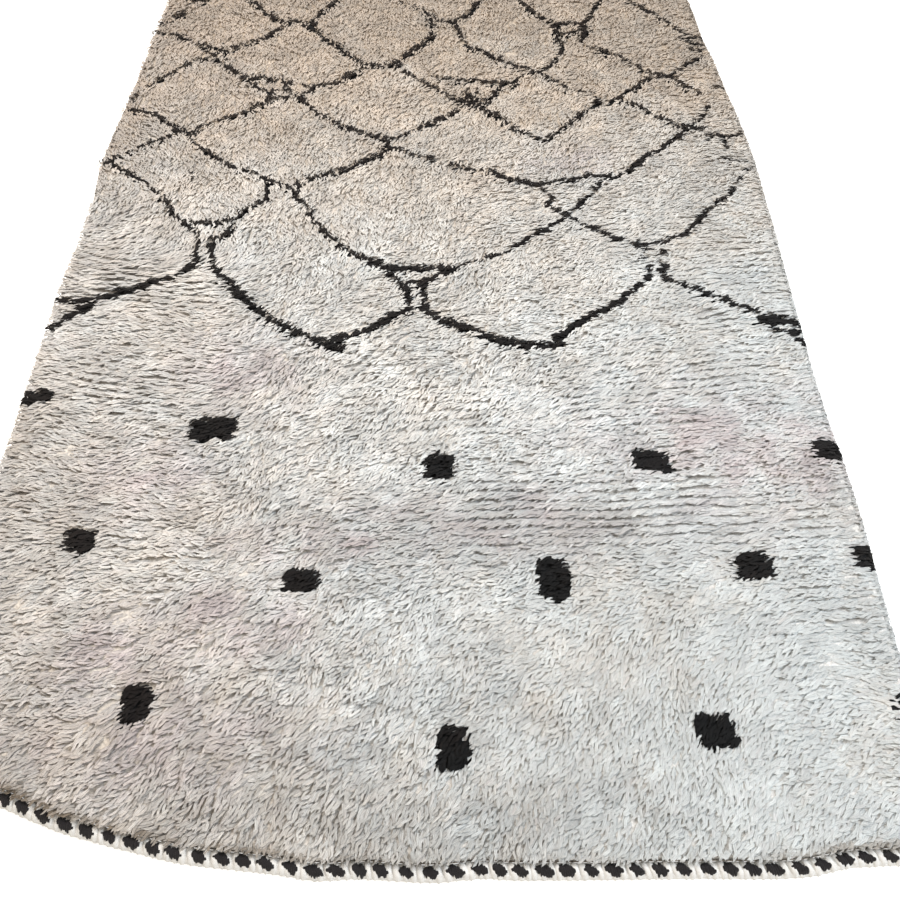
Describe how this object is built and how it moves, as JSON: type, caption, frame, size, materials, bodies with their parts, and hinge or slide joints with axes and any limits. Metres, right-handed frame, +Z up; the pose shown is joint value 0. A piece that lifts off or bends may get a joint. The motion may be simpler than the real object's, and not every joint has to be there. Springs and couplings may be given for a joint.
{
  "type": "beni ourain rug",
  "caption": "Thick hand-knotted wool shag rug lying flat, with ragged locks along its rim and a whipped two-colour binding along one end.",
  "frame": {"origin": "middle of the rug's bounding box, on the floor that it lies on", "axes": "+X across the rug, +Y along it from the bound end to the far end, +Z up from the floor"},
  "size_m": [1.6802, 2.7348, 0.033],
  "materials": {
    "ivory_pile_wool": "long matt pile of hand-spun undyed wool",
    "white_binding_wool": "matt wrapped wool yarn",
    "black_wool": "matt natural black wool yarn"
  },
  "bodies": {
    "root": {"shag_cloth": "ivory_pile_wool", "end_binding": "white_binding_wool", "binding_stitches": "black_wool"}
  },
  "joints": []
}
